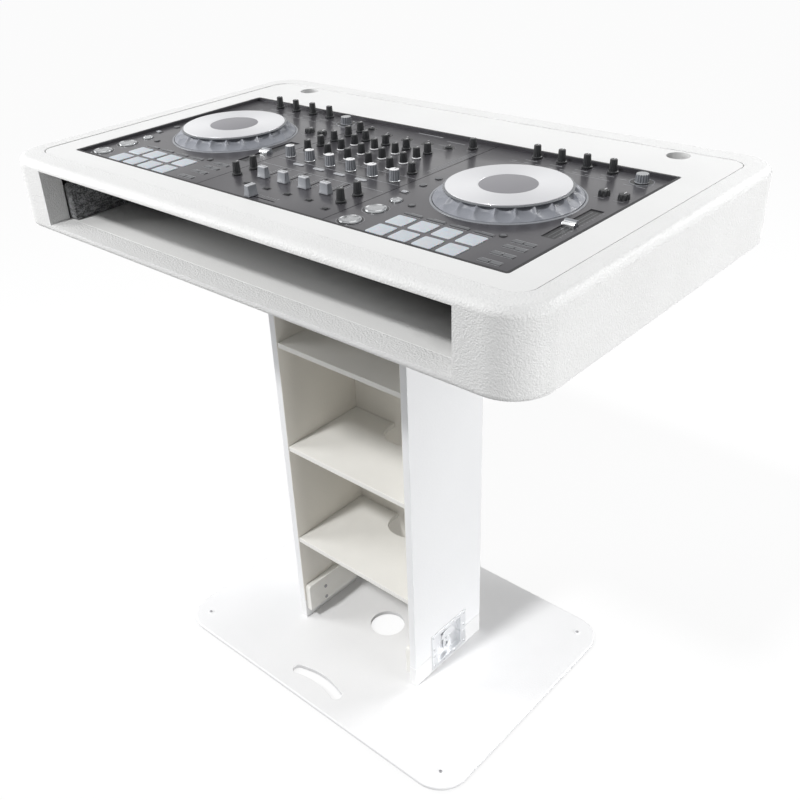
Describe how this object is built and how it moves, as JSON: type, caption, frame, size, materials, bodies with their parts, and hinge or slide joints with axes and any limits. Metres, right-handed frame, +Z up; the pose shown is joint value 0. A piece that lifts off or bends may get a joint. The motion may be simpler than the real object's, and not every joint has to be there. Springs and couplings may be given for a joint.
{
  "type": "dj podium stand",
  "caption": "White podium stand for a disc jockey: base plate, shelved column and a head with a flush four-channel controller of jog wheels, faders, knobs and pads.",
  "frame": {"origin": "on the floor, under the centre of the base, the column and the head", "axes": "+X to the operator's right, +Y away from the operator, +Z up"},
  "size_m": [1.04, 0.643, 1.0013],
  "materials": {
    "white_coat": "white textured coating",
    "white_paint": "smooth satin white",
    "carpet": "short carpet, charcoal fleck",
    "rubber": "matte",
    "steel": "bright zinc plate",
    "black_plastic": "fine matte",
    "graphite": "graphite, brushed satin",
    "silver": "silver satin",
    "white_disc": "white and silver satin",
    "pad_rubber": "translucent pale silicone",
    "circuit": "green solder mask"
  },
  "bodies": {
    "stand": {"base_plate": "white_coat", "base_foot_front_left": "rubber", "base_foot_front_right": "rubber", "base_foot_back_left": "rubber", "base_foot_back_right": "rubber", "base_kerb": "white_coat", "cleat_left": "white_paint", "cleat_right": "white_paint", "column_side_left": "white_coat", "column_side_right": "white_coat", "column_back": "white_coat", "shelf_lower": "white_paint", "shelf_middle": "white_paint", "shelf_upper": "white_paint", "column_top_board": "white_paint", "head_shell": "white_coat", "head_floor": "white_coat", "top_deck": "white_coat", "support_board_left": "carpet", "support_board_right": "carpet", "controller_case": "black_plastic", "controller_faceplate": "graphite", "mixer_board": "circuit", "deck_board_left": "circuit", "deck_board_right": "circuit", "latch_dish_left": "steel", "latch_keeper_left": "steel", "latch_dish_right": "steel", "latch_keeper_right": "steel"},
    "jog_wheel_left": {"jog_wheel_left": "white_disc"},
    "jog_wheel_right": {"jog_wheel_right": "white_disc"},
    "tempo_slider_left": {"tempo_slider_left": "silver"},
    "tempo_slider_right": {"tempo_slider_right": "silver"},
    "channel_fader_1": {"channel_fader_1": "silver"},
    "channel_fader_2": {"channel_fader_2": "silver"},
    "channel_fader_3": {"channel_fader_3": "silver"},
    "channel_fader_4": {"channel_fader_4": "silver"},
    "crossfader": {"crossfader": "silver"},
    "cue_button_left": {"cue_button_left": "silver"},
    "play_button_left": {"play_button_left": "silver"},
    "sync_button_left": {"sync_button_left": "silver"},
    "cue_button_right": {"cue_button_right": "silver"},
    "play_button_right": {"play_button_right": "silver"},
    "sync_button_right": {"sync_button_right": "silver"},
    "pad_mat_left": {"pad_mat_left": "pad_rubber"},
    "pad_mat_right": {"pad_mat_right": "pad_rubber"},
    "colour_knob_1": {"colour_knob_1": "silver"},
    "colour_knob_2": {"colour_knob_2": "silver"},
    "colour_knob_3": {"colour_knob_3": "silver"},
    "colour_knob_4": {"colour_knob_4": "silver"},
    "colour_knob_5": {"colour_knob_5": "silver"},
    "colour_knob_6": {"colour_knob_6": "silver"},
    "browse_knob_left": {"browse_knob_left": "silver"},
    "browse_knob_right": {"browse_knob_right": "silver"},
    "latch_hook_left": {"latch_hook_left": "steel"},
    "latch_cam_left": {"latch_cam_left": "steel"},
    "latch_wing_left": {"latch_wing_left": "steel"},
    "latch_hook_right": {"latch_hook_right": "steel"},
    "latch_cam_right": {"latch_cam_right": "steel"},
    "latch_wing_right": {"latch_wing_right": "steel"}
  },
  "joints": [
    {"name": "jog_spin_left", "type": "hinge", "parent": "stand", "child": "jog_wheel_left", "pos_m": [-0.2875, -0.018, 0.9813], "axis": [0, 0, 1], "continuous": true},
    {"name": "jog_spin_right", "type": "hinge", "parent": "stand", "child": "jog_wheel_right", "pos_m": [0.2785, -0.018, 0.9813], "axis": [0, 0, 1], "continuous": true},
    {"name": "tempo_slide_left", "type": "slide", "parent": "stand", "child": "tempo_slider_left", "axis": [0, 1, 0], "range_m": [-0.04, 0.052]},
    {"name": "tempo_slide_right", "type": "slide", "parent": "stand", "child": "tempo_slider_right", "axis": [0, 1, 0], "range_m": [-0.04, 0.052]},
    {"name": "channel_fade_1", "type": "slide", "parent": "stand", "child": "channel_fader_1", "axis": [0, 1, 0], "range_m": [0, 0.045]},
    {"name": "channel_fade_2", "type": "slide", "parent": "stand", "child": "channel_fader_2", "axis": [0, 1, 0], "range_m": [0, 0.045]},
    {"name": "channel_fade_3", "type": "slide", "parent": "stand", "child": "channel_fader_3", "axis": [0, 1, 0], "range_m": [0, 0.045]},
    {"name": "channel_fade_4", "type": "slide", "parent": "stand", "child": "channel_fader_4", "axis": [0, 1, 0], "range_m": [0, 0.045]},
    {"name": "crossfade", "type": "slide", "parent": "stand", "child": "crossfader", "axis": [1, 0, 0], "range_m": [0, 0.045]},
    {"name": "cue_press_left", "type": "slide", "parent": "stand", "child": "cue_button_left", "axis": [0, 0, -1], "range_m": [0, 0.001], "stiffness_N_per_m": 300},
    {"name": "play_press_left", "type": "slide", "parent": "stand", "child": "play_button_left", "axis": [0, 0, -1], "range_m": [0, 0.001], "stiffness_N_per_m": 300},
    {"name": "sync_press_left", "type": "slide", "parent": "stand", "child": "sync_button_left", "axis": [0, 0, -1], "range_m": [0, 0.001], "stiffness_N_per_m": 300},
    {"name": "cue_press_right", "type": "slide", "parent": "stand", "child": "cue_button_right", "axis": [0, 0, -1], "range_m": [0, 0.001], "stiffness_N_per_m": 300},
    {"name": "play_press_right", "type": "slide", "parent": "stand", "child": "play_button_right", "axis": [0, 0, -1], "range_m": [0, 0.001], "stiffness_N_per_m": 300},
    {"name": "sync_press_right", "type": "slide", "parent": "stand", "child": "sync_button_right", "axis": [0, 0, -1], "range_m": [0, 0.001], "stiffness_N_per_m": 300},
    {"name": "pad_press_left", "type": "slide", "parent": "stand", "child": "pad_mat_left", "axis": [0, 0, -1], "range_m": [0, 0.0008], "stiffness_N_per_m": 600},
    {"name": "pad_press_right", "type": "slide", "parent": "stand", "child": "pad_mat_right", "axis": [0, 0, -1], "range_m": [0, 0.0008], "stiffness_N_per_m": 600},
    {"name": "colour_turn_1", "type": "hinge", "parent": "stand", "child": "colour_knob_1", "pos_m": [-0.11375, -0.0525, 0.9813], "axis": [0, 0, 1], "range_deg": [-150, 150]},
    {"name": "colour_turn_2", "type": "hinge", "parent": "stand", "child": "colour_knob_2", "pos_m": [-0.07025, -0.0525, 0.9813], "axis": [0, 0, 1], "range_deg": [-150, 150]},
    {"name": "colour_turn_3", "type": "hinge", "parent": "stand", "child": "colour_knob_3", "pos_m": [-0.02675, -0.0525, 0.9813], "axis": [0, 0, 1], "range_deg": [-150, 150]},
    {"name": "colour_turn_4", "type": "hinge", "parent": "stand", "child": "colour_knob_4", "pos_m": [0.01675, -0.0525, 0.9813], "axis": [0, 0, 1], "range_deg": [-150, 150]},
    {"name": "colour_turn_5", "type": "hinge", "parent": "stand", "child": "colour_knob_5", "pos_m": [0.06025, -0.0525, 0.9813], "axis": [0, 0, 1], "range_deg": [-150, 150]},
    {"name": "colour_turn_6", "type": "hinge", "parent": "stand", "child": "colour_knob_6", "pos_m": [0.10375, -0.0525, 0.9813], "axis": [0, 0, 1], "range_deg": [-150, 150]},
    {"name": "browse_turn_left", "type": "hinge", "parent": "stand", "child": "browse_knob_left", "pos_m": [-0.1715, 0.1355, 0.9813], "axis": [0, 0, 1], "continuous": true},
    {"name": "browse_turn_right", "type": "hinge", "parent": "stand", "child": "browse_knob_right", "pos_m": [0.3945, 0.1355, 0.9813], "axis": [0, 0, 1], "continuous": true},
    {"name": "latch_turn_left", "type": "hinge", "parent": "stand", "child": "latch_cam_left", "pos_m": [-0.1515, 0, 0.0695], "axis": [1, 0, 0], "range_deg": [0, 180]},
    {"name": "latch_flip_left", "type": "hinge", "parent": "latch_cam_left", "child": "latch_wing_left", "pos_m": [-0.155, 0, 0.0695], "axis": [0, -1, 0], "range_deg": [0, 90]},
    {"name": "latch_draw_left", "type": "slide", "parent": "stand", "child": "latch_hook_left", "axis": [0, 0, -1], "range_m": [0, 0.006]},
    {"name": "latch_turn_right", "type": "hinge", "parent": "stand", "child": "latch_cam_right", "pos_m": [0.1515, 0, 0.0695], "axis": [1, 0, 0], "range_deg": [0, 180]},
    {"name": "latch_flip_right", "type": "hinge", "parent": "latch_cam_right", "child": "latch_wing_right", "pos_m": [0.155, 0, 0.0695], "axis": [0, 1, 0], "range_deg": [0, 90]},
    {"name": "latch_draw_right", "type": "slide", "parent": "stand", "child": "latch_hook_right", "axis": [0, 0, -1], "range_m": [0, 0.006]}
  ],
  "couplings": [
    {"joint": "latch_draw_left", "follows": "latch_turn_left", "m_per_rad": 0.0019099},
    {"joint": "latch_draw_right", "follows": "latch_turn_right", "m_per_rad": 0.0019099}
  ]
}
